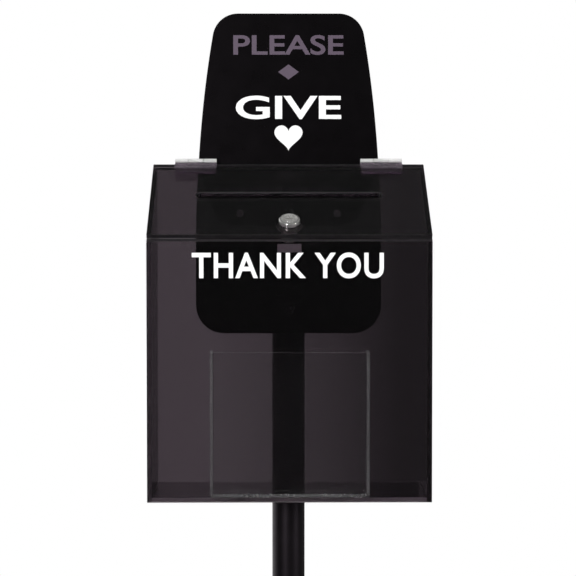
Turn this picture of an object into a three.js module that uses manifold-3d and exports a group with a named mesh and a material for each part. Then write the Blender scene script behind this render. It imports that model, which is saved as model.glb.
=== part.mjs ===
// A donation box on a floor stand. A smoked acrylic case with a sloping, lockable lid and a clear
// pocket for envelopes is bolted to a black steel header plate, and the plate to a round post that
// stands on a flat base. Units are millimetres. +X is to the visitor's right, +Y is towards the
// back and +Z is up. The origin is on the floor, under the middle of the base plate.
import * as THREE from "three";
import { mergeVertices } from "three/addons/utils/BufferGeometryUtils.js";
import Module from "manifold-3d";

const wasm = await Module();
wasm.setup();

// ---- Driving dimensions -------------------------------------------------------------------------
const GAP = 0.3; // glue line or seat between pieces that touch
const SIDES = { fine: 48, round: 32, small: 20 }; // facets of round pieces, by size

// The stand
const BASE = { size: 330, thickness: 6, corner: 45 };
const FOOT = { radius: 15, height: 5, chamfer: 1.5, inset: 35 };
const POST = { radius: 17.45, wall: 2, setback: 45, aboveBolt: 34 };
const POST_CAP = { plug: 12, lead: 2, rim: 1.5, shoulder: 3, shoulderHeight: 3.4, height: 4.2 };
const FLANGE = { radius: 45, thickness: 6, chamfer: 1, spigot: 15, boltCircle: 33 };
const CASE_UNDERSIDE = 720; // height of the case above the floor

// From here on, heights are counted from the case's underside and depths from its front face.
const CASE = { width: 286, depth: 120, frontHeight: 262, backHeight: 336, sheet: 4.5 };
const POCKET = { width: 158, depth: 28, bottom: 9.5, top: 153, sheet: 3 };
const CATCH = { width: 24, depth: 7, bottom: 251, top: 259.3 };
const HEADER = {
  standOff: 6, thickness: 3, halfWidth: 98.5, bottom: 162, top: 501.2,
  bottomCorner: 30, topCorner: 27,
  taper: { start: 240, control: 370.5, endX: 80.9, endZ: 474 },
};

// The lid, measured up its slope from where its top face meets the plane of the front panel
const LID = { frontSetback: 1.9, slot: { length: 191, width: 9.5, upSlope: 78.6 } };
const HINGE = {
  spacing: 196, length: 44, reach: 20, leaf: 2.4, barrel: 3.1, leafClearance: 0.4,
  pin: 1.2, pinHole: 1.4, knuckle: 15.6,
  axisBehind: 1.9, axisAbove: 2.9, // from the lid's top rear edge
};
const LOCK = {
  upSlope: 24.8, headRadius: 10.8, headHeight: 5.6, headRim: 3, headBevel: 1.6, headRound: 2.6,
  barrelRadius: 9.3, halfFlats: 8.3, hole: 9.7, bore: 6.2, plug: 6, barrelEnd: -19,
  nutFlats: 24, nutThickness: 4,
  keyway: { width: 1.6, length: 7.4, depth: 12 },
};
const CAM = {
  top: -21, thickness: 2, width: 13, length: 30.4, tipCorner: 3, square: 2.5, squareHole: 2.8,
  tapping: { radius: 1.8, depth: 6 },
  screw: { shank: 1.5, head: 5, headHeight: 2.6, length: 8 },
};

// Fasteners
const CASE_SCREW = {
  shank: 2, hole: 2.4, head: 4, headHeight: 2.6, spacing: 102.6, spacer: 5,
  nutFlats: 7, nutThickness: 3.2, beyondNut: 1.5,
};
const BOLT = { shank: 3, hole: 3.4, head: 5.5, headHeight: 3.4, spacer: 7, beyondSaddle: 8 };
const CAP_NUT = {
  flats: 10, skirt: 5, bore: 9,
  dome: {
    start: 4, radius: 4.7, shoulder: 7, crownRadius: 3.7, crown: 10, tipRadius: 1.8, tip: 11.6, end: 12,
  },
};
const FLANGE_SCREW_RECESS = 0.5; // how far the screw tips stay inside the base plate
const BOLT_HEIGHTS = { upper: 287.5, lower: 188 };
const SADDLE = { atPost: 3, frontHalf: 13, frontDepth: 8.6, rearHalf: 9, rearThickness: 4.5 };

// ---- Derived places -----------------------------------------------------------------------------
const SLOPE = Math.atan2(CASE.backHeight - CASE.frontHeight, CASE.depth);
const LID_LENGTH = CASE.depth / Math.cos(SLOPE);
const LID_TOP_AT_FRONT = CASE.frontHeight + GAP + CASE.sheet / Math.cos(SLOPE);
const LID_TOP_AT_BACK = LID_TOP_AT_FRONT + CASE.depth * Math.tan(SLOPE);
const PLATE_FRONT = CASE.depth + HEADER.standOff;
const PLATE_BACK = PLATE_FRONT + HEADER.thickness;
const POST_AXIS = PLATE_BACK + SADDLE.atPost + POST.radius;
const REAR_SADDLE_BACK = POST_AXIS + POST.radius + SADDLE.rearThickness;
const BASE_TOP = FOOT.height + BASE.thickness;
const FLANGE_TOP = BASE_TOP + GAP + FLANGE.thickness;
const POST_TOP = CASE_UNDERSIDE + BOLT_HEIGHTS.upper + POST.aboveBolt;
const HINGE_AXIS = { y: CASE.depth + HINGE.axisBehind, z: LID_TOP_AT_BACK + HINGE.axisAbove };

// ---- Materials ----------------------------------------------------------------------------------
const finish = (color, roughness, metalness, extra = {}) =>
  new THREE.MeshStandardMaterial({ color, roughness, metalness, ...extra });
const SMOKED = finish(0x2b262e, 0.08, 0, { transparent: true, opacity: 0.62 });
const CLEAR = finish(0xe8ecef, 0.06, 0, { transparent: true, opacity: 0.3 });
const POWDER_COAT = finish(0x121113, 0.42, 0.1);
const CHROME = finish(0xc9c8c4, 0.18, 1);
const STEEL = finish(0xa7a6a2, 0.35, 1);
const BLACK_PLASTIC = finish(0x161517, 0.5, 0);
const RUBBER = finish(0x1a1a1a, 0.85, 0);

// ---- Cutting and joining ------------------------------------------------------------------------
function toSolid(geometry) {
  const bare = geometry.index ? geometry.toNonIndexed() : geometry.clone();
  bare.deleteAttribute("normal");
  bare.deleteAttribute("uv");
  const merged = mergeVertices(bare, 1e-4);
  const vertProperties = merged.getAttribute("position").array;
  const triVerts = new Uint32Array(merged.index.array);
  return new wasm.Manifold(new wasm.Mesh({ numProp: 3, vertProperties, triVerts }));
}

function toGeometry(solid) {
  const mesh = solid.getMesh();
  const geometry = new THREE.BufferGeometry();
  geometry.setAttribute("position", new THREE.BufferAttribute(mesh.vertProperties, 3));
  geometry.setIndex(new THREE.BufferAttribute(mesh.triVerts, 1));
  geometry.computeVertexNormals();
  return geometry;
}

const cut = (geometry, ...tools) =>
  toGeometry(tools.reduce((left, tool) => left.subtract(toSolid(tool)), toSolid(geometry)));

const join = (geometry, ...others) =>
  toGeometry(others.reduce((whole, other) => whole.add(toSolid(other)), toSolid(geometry)));

// ---- Shapes -------------------------------------------------------------------------------------
// A box between two corners.
function block([x0, y0, z0], [x1, y1, z1]) {
  const box = new THREE.BoxGeometry(x1 - x0, y1 - y0, z1 - z0);
  return box.translate((x0 + x1) / 2, (y0 + y1) / 2, (z0 + z1) / 2);
}

// Round rods along each axis, from one coordinate to the other.
const rod = (radius, length, sides) => new THREE.CylinderGeometry(radius, radius, length, sides);
const rodX = (radius, x0, x1, y, z, sides = SIDES.small) =>
  rod(radius, x1 - x0, sides).rotateZ(Math.PI / 2).translate((x0 + x1) / 2, y, z);
const rodY = (radius, y0, y1, x, z, sides = SIDES.small) =>
  rod(radius, y1 - y0, sides).translate(x, (y0 + y1) / 2, z);
const rodZ = (radius, z0, z1, x, y, sides = SIDES.small) =>
  rod(radius, z1 - z0, sides).rotateX(Math.PI / 2).translate(x, y, (z0 + z1) / 2);

// A solid of revolution about Z from [radius, height] pairs that run anticlockwise.
function turned(profile, sides) {
  const points = profile.map(([r, z]) => new THREE.Vector2(r, z));
  return new THREE.LatheGeometry(points, sides).rotateX(Math.PI / 2);
}

// The same, closed on itself, for a solid with a hole through it.
const turnedRing = (profile, sides) => turned([...profile, profile[0]], sides);

const extruded = (shape, depth, curveSegments = 12) =>
  new THREE.ExtrudeGeometry(shape, { depth, bevelEnabled: false, curveSegments });

// A side profile of [y, z] pairs carried along X.
function alongX(profile, x0, x1) {
  const shape = new THREE.Shape(profile.map(([y, z]) => new THREE.Vector2(y, z)));
  const [alongAxis, across, up] = [0, 1, 2].map((axis) => new THREE.Vector3().setComponent(axis, 1));
  const turn = new THREE.Matrix4().makeBasis(across, up, alongAxis);
  return extruded(shape, x1 - x0).applyMatrix4(turn).translate(x0, 0, 0);
}

// A rectangle between two corners with every corner rounded to its own radius, anticlockwise from
// the lower right.
function roundedRectangle(x0, y0, x1, y1, [lowerRight, upperRight, upperLeft, lowerLeft]) {
  const quarter = Math.PI / 2;
  const shape = new THREE.Shape();
  shape.absarc(x1 - lowerRight, y0 + lowerRight, lowerRight, -quarter, 0, false);
  shape.absarc(x1 - upperRight, y1 - upperRight, upperRight, 0, quarter, false);
  shape.absarc(x0 + upperLeft, y1 - upperLeft, upperLeft, quarter, 2 * quarter, false);
  shape.absarc(x0 + lowerLeft, y0 + lowerLeft, lowerLeft, 2 * quarter, 3 * quarter, false);
  return shape;
}

const hexagon = (flats, depth) => rod(flats / 2 / Math.cos(Math.PI / 6), depth, 6);

// A dome-headed screw along +Y: the head's flat underside is at headBack and the shank runs on.
function domedScrew({ shank, head, headHeight }, headBack, shankEnd, x, z) {
  const profile = [
    [0, -headHeight], [head * 0.55, -headHeight], [head * 0.9, -headHeight * 0.6], [head, 0], [0, 0],
  ];
  const dome = turned(profile, SIDES.small).rotateX(-Math.PI / 2);
  return join(dome.translate(x, headBack, z), rodY(shank, headBack - 0.5, shankEnd, x, z));
}

const spacerRing = (outer, inner, y0, y1, x, z) =>
  cut(rodY(outer, y0, y1, x, z, SIDES.round), rodY(inner, y0 - 1, y1 + 1, x, z));

const hexNut = (flats, hole, y0, y1, x, z) =>
  cut(hexagon(flats, y1 - y0).translate(x, (y0 + y1) / 2, z), rodY(hole, y0 - 1, y1 + 1, x, z));

// A nut with a blind domed end, for where hands can reach it.
function capNut(y0, x, z) {
  const { flats, skirt, bore, dome } = CAP_NUT;
  const profile = [
    [0, dome.start], [dome.radius, dome.start], [dome.radius, dome.shoulder],
    [dome.crownRadius, dome.crown], [dome.tipRadius, dome.tip], [0, dome.end],
  ];
  const cap = turned(profile, SIDES.small).rotateX(-Math.PI / 2).translate(x, y0, z);
  const body = join(hexagon(flats, skirt).translate(x, y0 + skirt / 2, z), cap);
  return cut(body, rodY(BOLT.shank + GAP, y0 - 1, y0 + bore, x, z));
}

function add(parent, name, geometry, material) {
  const mesh = new THREE.Mesh(geometry, material);
  mesh.name = name;
  parent.add(mesh);
}

// ---- Base and post ------------------------------------------------------------------------------
const flangeScrewPlaces = [45, 135, 225, 315].map((degrees) => {
  const angle = THREE.MathUtils.degToRad(degrees);
  return [FLANGE.boltCircle * Math.cos(angle), POST.setback + FLANGE.boltCircle * Math.sin(angle)];
});

function basePlate() {
  const half = BASE.size / 2;
  const outline = roundedRectangle(-half, -half, half, half, Array(4).fill(BASE.corner));
  const plate = extruded(outline, BASE.thickness).translate(0, 0, FOOT.height);
  const holes = flangeScrewPlaces.map(([x, y]) => rodZ(BOLT.hole, FOOT.height - 1, BASE_TOP + 1, x, y));
  return cut(plate, ...holes);
}

function rubberFoot(x, y) {
  const { radius, height, chamfer } = FOOT;
  const top = height - GAP;
  const profile = [[0, 0], [radius - chamfer, 0], [radius, chamfer], [radius, top], [0, top]];
  return turned(profile, SIDES.round).translate(x, y, 0);
}

// The disc that carries the post, with a spigot up inside it.
function postFlange() {
  const { radius, chamfer, spigot } = FLANGE;
  const low = BASE_TOP + GAP;
  const spigotRadius = POST.radius - POST.wall - GAP;
  const profile = [
    [0, low], [radius, low], [radius, FLANGE_TOP - chamfer], [radius - chamfer, FLANGE_TOP],
    [spigotRadius, FLANGE_TOP], [spigotRadius, FLANGE_TOP + spigot], [0, FLANGE_TOP + spigot],
  ];
  const disc = turned(profile, SIDES.fine).translate(0, POST.setback, 0);
  return cut(disc, ...flangeScrewPlaces.map(([x, y]) => rodZ(BOLT.hole, low - 1, FLANGE_TOP + 1, x, y)));
}

function flangeScrew(x, y) {
  const length = FLANGE_TOP - FOOT.height - FLANGE_SCREW_RECESS;
  const screw = domedScrew(BOLT, 0, length, 0, 0).rotateX(-Math.PI / 2);
  return screw.translate(x, y, FLANGE_TOP + GAP);
}

function postTube() {
  const bottom = FLANGE_TOP + GAP;
  const ring = new THREE.Shape().absarc(0, 0, POST.radius, 0, 2 * Math.PI, false);
  ring.holes.push(new THREE.Path().absarc(0, 0, POST.radius - POST.wall, 0, 2 * Math.PI, true));
  const tube = extruded(ring, POST_TOP - bottom, SIDES.fine / 2).translate(0, POST.setback, bottom);
  const [front, back] = [POST.setback - POST.radius - 1, POST.setback + POST.radius + 1];
  return cut(tube, ...Object.values(BOLT_HEIGHTS).map((height) =>
    rodY(BOLT.hole, front, back, 0, CASE_UNDERSIDE + height)));
}

function postCap() {
  const { plug, lead, rim, shoulder, shoulderHeight, height } = POST_CAP;
  const plugRadius = POST.radius - POST.wall - GAP;
  const seat = POST_TOP + GAP;
  const profile = [
    [0, seat - plug], [plugRadius - lead / 2, seat - plug], [plugRadius, seat - plug + lead],
    [plugRadius, seat], [POST.radius, seat], [POST.radius, seat + rim],
    [POST.radius - shoulder, seat + shoulderHeight], [0, seat + height],
  ];
  return turned(profile, SIDES.fine).translate(0, POST.setback, 0);
}

function makeStand() {
  const stand = new THREE.Group();
  add(stand, "base_plate", basePlate(), POWDER_COAT);
  const reach = BASE.size / 2 - FOOT.inset;
  for (const [row, y] of [["front", -reach], ["rear", reach]]) {
    for (const [side, x] of [["left", -reach], ["right", reach]]) {
      add(stand, `foot_${row}_${side}`, rubberFoot(x, y), RUBBER);
    }
  }
  add(stand, "post_flange", postFlange(), POWDER_COAT);
  flangeScrewPlaces.forEach(([x, y], index) => {
    add(stand, `flange_screw_${index + 1}`, flangeScrew(x, y), STEEL);
  });
  add(stand, "post_tube", postTube(), POWDER_COAT);
  add(stand, "post_cap", postCap(), BLACK_PLASTIC);
  return stand;
}

// ---- Header plate and what holds it -------------------------------------------------------------
// A straight lower part, sides that curve inwards to a slight taper, and rounded corners.
function headerOutline() {
  const { halfWidth, bottom, top, bottomCorner, topCorner, taper } = HEADER;
  const lean = Math.atan2(halfWidth - taper.endX, taper.endZ - taper.control);
  const cornerZ = top - topCorner;
  const tangentZ = cornerZ + topCorner * Math.sin(lean);
  const cornerX = taper.endX - (tangentZ - taper.endZ) * Math.tan(lean) - topCorner * Math.cos(lean);
  const rightSide = new THREE.Path();
  rightSide.absarc(halfWidth - bottomCorner, bottom + bottomCorner, bottomCorner, -Math.PI / 2, 0, false);
  rightSide.lineTo(halfWidth, taper.start);
  rightSide.quadraticCurveTo(halfWidth, taper.control, taper.endX, taper.endZ);
  rightSide.absarc(cornerX, cornerZ, topCorner, lean, Math.PI / 2, false);
  const right = rightSide.getPoints(12);
  const left = right.map((point) => new THREE.Vector2(-point.x, point.y)).reverse();
  return new THREE.Shape([...right, ...left]);
}

const caseScrewX = { left: -CASE_SCREW.spacing / 2, right: CASE_SCREW.spacing / 2 };

// The holes that the back panel and the header plate share.
function fixingHoles(y0, y1) {
  return [
    ...Object.values(caseScrewX).map((x) => rodY(CASE_SCREW.hole, y0, y1, x, BOLT_HEIGHTS.upper)),
    ...Object.values(BOLT_HEIGHTS).map((z) => rodY(BOLT.hole, y0, y1, 0, z)),
  ];
}

function headerPlate() {
  const plate = extruded(headerOutline(), HEADER.thickness).rotateX(Math.PI / 2);
  return cut(plate.translate(0, PLATE_BACK, 0), ...fixingHoles(PLATE_FRONT - 1, PLATE_BACK + 1));
}

const postBore = (z) => rodZ(POST.radius + GAP, z - 20, z + 20, 0, POST_AXIS, SIDES.fine);

// Blocks that are flat on one side and hollowed on the other, in front of the post and behind it.
function frontSaddle(z) {
  const half = SADDLE.frontHalf;
  const body = block([-half, PLATE_BACK + GAP, z - half], [half, PLATE_BACK + SADDLE.frontDepth, z + half]);
  return cut(body, postBore(z), rodY(BOLT.hole, PLATE_BACK, POST_AXIS, 0, z));
}

function rearSaddle(z) {
  const half = SADDLE.rearHalf;
  const body = block([-half, POST_AXIS + POST.radius / 2, z - half], [half, REAR_SADDLE_BACK, z + half]);
  return cut(body, postBore(z), rodY(BOLT.hole, POST_AXIS, REAR_SADDLE_BACK + 1, 0, z));
}

function addHeader(parent) {
  add(parent, "header_plate", headerPlate(), POWDER_COAT);
  const headBack = CASE.depth - CASE.sheet - GAP;
  const spacerEnds = [CASE.depth + GAP, PLATE_FRONT - GAP];
  const spacer = ({ spacer: outer, hole }, x, z) => spacerRing(outer, hole, ...spacerEnds, x, z);
  const nutEnds = [PLATE_BACK + GAP, PLATE_BACK + GAP + CASE_SCREW.nutThickness];
  const screwEnd = nutEnds[1] + CASE_SCREW.beyondNut;
  const boltEnd = REAR_SADDLE_BACK + BOLT.beyondSaddle;
  for (const [side, x] of Object.entries(caseScrewX)) {
    const z = BOLT_HEIGHTS.upper;
    const nut = hexNut(CASE_SCREW.nutFlats, CASE_SCREW.hole, ...nutEnds, x, z);
    add(parent, `case_screw_${side}`, domedScrew(CASE_SCREW, headBack, screwEnd, x, z), STEEL);
    add(parent, `case_spacer_${side}`, spacer(CASE_SCREW, x, z), BLACK_PLASTIC);
    add(parent, `case_nut_${side}`, nut, STEEL);
  }
  for (const [level, z] of Object.entries(BOLT_HEIGHTS)) {
    add(parent, `post_bolt_${level}`, domedScrew(BOLT, headBack, boltEnd, 0, z), STEEL);
    add(parent, `post_spacer_${level}`, spacer(BOLT, 0, z), BLACK_PLASTIC);
    add(parent, `front_saddle_${level}`, frontSaddle(z), BLACK_PLASTIC);
    add(parent, `rear_saddle_${level}`, rearSaddle(z), BLACK_PLASTIC);
    add(parent, `cap_nut_${level}`, capNut(REAR_SADDLE_BACK + GAP, 0, z), CHROME);
  }
}

// ---- Acrylic case -------------------------------------------------------------------------------
// The walls' top edges are bevelled to the slope of the lid.
function wall(y0, y1, x0, x1) {
  const topAt = (y) => CASE.frontHeight + y * Math.tan(SLOPE);
  return alongX([[y0, 0], [y1, 0], [y1, topAt(y1)], [y0, topAt(y0)]], x0, x1);
}

function addCase(parent) {
  const { depth, sheet } = CASE;
  const half = CASE.width / 2;
  const [insideFront, insideBack] = [sheet + GAP, depth - sheet - GAP];
  const back = wall(depth - sheet, depth, -half, half);
  add(parent, "front_panel", wall(0, sheet, -half, half), SMOKED);
  add(parent, "back_panel", cut(back, ...fixingHoles(depth - sheet - 1, depth + 1)), SMOKED);
  add(parent, "left_side_panel", wall(insideFront, insideBack, -half, -half + sheet), SMOKED);
  add(parent, "right_side_panel", wall(insideFront, insideBack, half - sheet, half), SMOKED);
  const inner = half - sheet - GAP;
  add(parent, "bottom_panel", block([-inner, insideFront, 0], [inner, insideBack, sheet]), SMOKED);
  const strikeLow = [-CATCH.width / 2, insideFront, CATCH.bottom];
  const strikeHigh = [CATCH.width / 2, insideFront + CATCH.depth, CATCH.top];
  add(parent, "catch_block", block(strikeLow, strikeHigh), CLEAR);
}

function addPocket(parent) {
  const { depth, bottom, top, sheet } = POCKET;
  const half = POCKET.width / 2;
  const inner = half - sheet - GAP;
  const [wallFront, wallBack] = [sheet - depth + GAP, -GAP];
  const floor = block([-inner, wallFront, bottom], [inner, wallBack, bottom + sheet]);
  add(parent, "pocket_front", block([-half, -depth, bottom], [half, sheet - depth, top]), CLEAR);
  add(parent, "pocket_left_side", block([-half, wallFront, bottom], [-half + sheet, wallBack, top]), CLEAR);
  add(parent, "pocket_right_side", block([half - sheet, wallFront, bottom], [half, wallBack, top]), CLEAR);
  add(parent, "pocket_bottom", floor, CLEAR);
}

// ---- Hinges -------------------------------------------------------------------------------------
const hingeX = { left: -HINGE.spacing / 2, right: HINGE.spacing / 2 };
const halfHinge = HINGE.length / 2;
const halfKnuckle = HINGE.knuckle / 2;

// A leaf with its knuckles, about an axis along X. The leaf lies along +Y, from the height face up.
function hingeLeaf(face, reach, knuckles) {
  const clear = HINGE.barrel + HINGE.leafClearance;
  const top = face + HINGE.leaf;
  const pieces = knuckles.flatMap(([x0, x1]) => [
    block([x0, 0, face], [x1, clear + 1, top]),
    rodX(HINGE.barrel, x0, x1, 0, 0, SIDES.round),
  ]);
  const leaf = join(block([-halfHinge, clear, face], [halfHinge, reach, top]), ...pieces);
  return cut(leaf, rodX(HINGE.pinHole, -halfHinge - 1, halfHinge + 1, 0, 0));
}

function addCaseHinges(parent) {
  const outerKnuckles = [[-halfHinge, -halfKnuckle - GAP], [halfKnuckle + GAP, halfHinge]];
  const face = GAP - HINGE.axisBehind;
  for (const [side, x] of Object.entries(hingeX)) {
    // The leaf hangs down the outside of the back panel.
    const leaf = hingeLeaf(face, HINGE.reach + HINGE.axisAbove, outerKnuckles).rotateX(-Math.PI / 2);
    const pin = rodX(HINGE.pin, x - halfHinge, x + halfHinge, HINGE_AXIS.y, HINGE_AXIS.z);
    add(parent, `hinge_case_leaf_${side}`, leaf.translate(x, HINGE_AXIS.y, HINGE_AXIS.z), CLEAR);
    add(parent, `hinge_pin_${side}`, pin, STEEL);
  }
}

// ---- Lid. In its own frame +Y runs up the slope and +Z stands off the top face, at z = 0. ---------
const lidAxisY = LID_LENGTH + HINGE.axisBehind * Math.cos(SLOPE) + HINGE.axisAbove * Math.sin(SLOPE);
const lidAxisZ = HINGE.axisAbove * Math.cos(SLOPE) - HINGE.axisBehind * Math.sin(SLOPE);

// The front edge is square to the sheet, and the rear edge is upright to clear the hinges.
function lidPanel() {
  const half = CASE.width / 2;
  const front = LID.frontSetback / Math.cos(SLOPE);
  const rearUnderside = LID_LENGTH - CASE.sheet * Math.tan(SLOPE);
  const profile = [[front, 0], [front, -CASE.sheet], [rearUnderside, -CASE.sheet], [LID_LENGTH, 0]];
  const { length, width, upSlope } = LID.slot;
  const end = width / 2;
  const outline = roundedRectangle(-length / 2, -end, length / 2, end, Array(4).fill(end * 0.999));
  const slot = extruded(outline, CASE.sheet + 2, 6).translate(0, upSlope, -CASE.sheet - 1);
  const lockHole = rodZ(LOCK.hole, -CASE.sheet - 1, 1, 0, LOCK.upSlope, SIDES.round);
  return cut(alongX(profile, -half, half), slot, lockHole);
}

function lidHingeLeaf() {
  const reach = HINGE.reach + lidAxisY - LID_LENGTH;
  return hingeLeaf(GAP - lidAxisZ, reach, [[-halfKnuckle, halfKnuckle]]).rotateZ(Math.PI);
}

// The lock's fixed barrel: a dished head on the lid and a body with two flats below it.
function lockHousing() {
  const { headRadius, headHeight, headRim, headBevel, headRound } = LOCK;
  const { barrelRadius, halfFlats, bore, barrelEnd } = LOCK;
  const profile = [
    [bore, barrelEnd], [barrelRadius, barrelEnd], [barrelRadius, GAP],
    [headRadius, GAP], [headRadius, headRim],
    [headRadius - headBevel, headHeight - 0.4], [headRadius - headRound, headHeight], [bore, headHeight],
  ];
  const beyond = barrelRadius + 1;
  const flats = [-1, 1].map((side) => {
    const [inner, outer] = side < 0 ? [-beyond, -halfFlats] : [halfFlats, beyond];
    return block([inner, -beyond, barrelEnd - 1], [outer, beyond, 0]);
  });
  return cut(turnedRing(profile, SIDES.fine), ...flats);
}

function lockNut() {
  const [top, bottom] = [-CASE.sheet - GAP, -CASE.sheet - GAP - LOCK.nutThickness];
  const nut = hexagon(LOCK.nutFlats, LOCK.nutThickness).rotateX(Math.PI / 2);
  const bore = rodZ(LOCK.barrelRadius + GAP, bottom - 1, top + 1, 0, 0, SIDES.fine);
  return cut(nut.translate(0, 0, (top + bottom) / 2), bore);
}

// The turning core, with its keyway above and a square tail for the cam below.
function lockPlug() {
  const { plug, headHeight, keyway } = LOCK;
  const top = headHeight - GAP;
  const tailEnd = CAM.top - CAM.thickness - 0.1;
  const { square, tapping } = CAM;
  const core = rodZ(plug, CAM.top + GAP, top, 0, 0, SIDES.round);
  const tail = block([-square, -square, tailEnd], [square, square, CAM.top + 1]);
  const slot = block(
    [-keyway.length / 2, -keyway.width / 2, top - keyway.depth],
    [keyway.length / 2, keyway.width / 2, top + 1]);
  const screwHole = rodZ(tapping.radius, tailEnd - 1, CAM.top + tapping.depth, 0, 0);
  return cut(join(core, tail), slot, screwHole);
}

// The cam points to the visitor's right while the box is unlocked.
function lockCam() {
  const { top, thickness, length, tipCorner, squareHole } = CAM;
  const half = CAM.width / 2;
  const heel = half * 0.99;
  const outline = roundedRectangle(-half, -half, length, half, [tipCorner, tipCorner, heel, heel]);
  const bottom = top - thickness;
  const hole = block([-squareHole, -squareHole, bottom - 1], [squareHole, squareHole, top + 1]);
  return cut(extruded(outline, thickness, 6).translate(0, 0, bottom), hole);
}

function camScrew() {
  const underHead = CAM.top - CAM.thickness - 2 * GAP;
  const screw = domedScrew(CAM.screw, 0, CAM.screw.length, 0, 0).rotateX(Math.PI / 2);
  return screw.translate(0, 0, underHead);
}

function makeLid() {
  const lid = new THREE.Group();
  lid.position.set(0, 0, LID_TOP_AT_FRONT);
  lid.rotation.x = SLOPE;
  add(lid, "lid_panel", lidPanel(), SMOKED);
  for (const [side, x] of Object.entries(hingeX)) {
    add(lid, `hinge_lid_leaf_${side}`, lidHingeLeaf().translate(x, lidAxisY, lidAxisZ), CLEAR);
  }
  const lock = new THREE.Group();
  lock.position.y = LOCK.upSlope;
  add(lock, "lock_housing", lockHousing(), CHROME);
  add(lock, "lock_nut", lockNut(), STEEL);
  add(lock, "lock_plug", lockPlug(), CHROME);
  add(lock, "lock_cam", lockCam(), STEEL);
  add(lock, "cam_screw", camScrew(), STEEL);
  lid.add(lock);
  return lid;
}

// ---- Assembly -----------------------------------------------------------------------------------
const box = new THREE.Group();
box.position.set(0, POST.setback - POST_AXIS, CASE_UNDERSIDE);
addHeader(box);
addCase(box);
addPocket(box);
addCaseHinges(box);
box.add(makeLid());

const donationBox = new THREE.Group();
donationBox.add(makeStand(), box);

export default donationBox;
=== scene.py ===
"""A donation box on a floor stand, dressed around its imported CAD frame.

Shapes are drawn in millimetres and placed in metres. +X is to the visitor's right, +Y is towards
the back and +Z is up. Heights and depths on the case count from its front lower edge.
"""

import math

import bmesh
import bpy
from mathutils import Matrix, Vector


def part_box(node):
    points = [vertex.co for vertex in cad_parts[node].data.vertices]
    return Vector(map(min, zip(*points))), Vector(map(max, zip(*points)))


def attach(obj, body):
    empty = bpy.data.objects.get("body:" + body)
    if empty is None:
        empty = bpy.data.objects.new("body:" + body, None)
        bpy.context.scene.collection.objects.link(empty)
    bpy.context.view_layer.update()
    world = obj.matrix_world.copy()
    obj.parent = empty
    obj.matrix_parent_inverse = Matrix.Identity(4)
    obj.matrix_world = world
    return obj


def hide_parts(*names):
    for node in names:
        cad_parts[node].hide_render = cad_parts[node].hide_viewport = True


bpy.ops.wm.read_factory_settings(use_empty=True)
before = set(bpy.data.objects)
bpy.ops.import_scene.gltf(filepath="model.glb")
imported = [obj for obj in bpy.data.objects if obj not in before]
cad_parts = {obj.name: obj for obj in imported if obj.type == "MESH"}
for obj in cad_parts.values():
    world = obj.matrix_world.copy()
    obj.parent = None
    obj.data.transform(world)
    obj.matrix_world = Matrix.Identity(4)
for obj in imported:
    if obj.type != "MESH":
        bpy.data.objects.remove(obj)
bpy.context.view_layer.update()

# ---- Sizes in millimetres ----
MM = 0.001
GAP = 0.3  # glue line or seat between pieces that touch
SHEET = 4.5

CASE_WIDTH = 286
CASE_DEPTH = 120
CASE_FRONT = 262  # height of the front panel
CASE_BACK = 336
SLOPE = math.atan2(CASE_BACK - CASE_FRONT, CASE_DEPTH)
POCKET_WIDTH = 158
POCKET_DEPTH = 28
POCKET_LOW, POCKET_HIGH = 9.5, 153
POCKET_SHEET = 3
CATCH_WIDTH = 24
CATCH_DEPTH = 7
CATCH_LOW, CATCH_HIGH = 251, 259.3

LID_LENGTH = CASE_DEPTH / math.cos(SLOPE)
LID_TOP = CASE_FRONT + GAP + SHEET / math.cos(SLOPE)
LID_SETBACK = 1.9
LID_HOLE = 9.7
SLOT_LENGTH = 191
SLOT_WIDTH = 9.5
SLOT_AT = 78.6  # up the slope of the lid
SLOT_BEVEL = 0.9

BASE_SIZE = 330
BASE_THICKNESS = 6
BASE_CORNER = 45
FOOT_RADIUS = 15
FOOT_HEIGHT = 5
FOOT_INSET = 35
BASE_TOP = FOOT_HEIGHT + BASE_THICKNESS
POST_RADIUS = 17.45
POST_WALL = 2
POST_BORE = POST_RADIUS - POST_WALL
FLANGE_RADIUS = 45
FLANGE_THICKNESS = 6
FLANGE_TOP = BASE_TOP + GAP + FLANGE_THICKNESS
FLANGE_SPIGOT = 15
FLANGE_SCREWS = 33  # radius of the circle that they stand on

PLATE_STANDOFF = 6
PLATE_THICKNESS = 3
PLATE_FRONT = CASE_DEPTH + PLATE_STANDOFF
PLATE_BACK = PLATE_FRONT + PLATE_THICKNESS
SADDLE_HALVES = {"front": 13, "rear": 9}
SADDLE_WEBS = {"front": 3, "rear": 4.5}  # thickness where they are thinnest, at the post
POST_AXIS = PLATE_BACK + SADDLE_WEBS["front"] + POST_RADIUS
SADDLE_BACK = POST_AXIS + POST_RADIUS + SADDLE_WEBS["rear"]

BOLT_HEIGHTS = {"upper": 287.5, "lower": 188}
BOLT_HEAD, BOLT_HEAD_HEIGHT = 5.5, 3.4
BOLT_SHANK, BOLT_HOLE = 3, 3.4
BOLT_KEY = 4  # across the flats
CASE_SCREWS = {"left": -51.3, "right": 51.3}
CASE_SCREW_HEAD, CASE_SCREW_HEAD_HEIGHT = 4, 2.6
CASE_SCREW_SHANK, CASE_SCREW_HOLE = 2, 2.4
CASE_NUT_FLATS, CASE_NUT_THICKNESS = 7, 3.2
HEAD_SEAT = CASE_DEPTH - SHEET - GAP

HINGES = {"left": -98, "right": 98}
HINGE_LENGTH = 44
HINGE_KNUCKLE = 15.6
HINGE_BARREL = 3.1
HINGE_CLEAR = HINGE_BARREL + 0.4
HINGE_LEAF = 2.4
HINGE_REACH = 20
HINGE_BEHIND, HINGE_ABOVE = 1.9, 2.9  # from the lid's top rear edge to the axis
HINGE_PIN, HINGE_BORE = 1.2, 1.4

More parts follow.
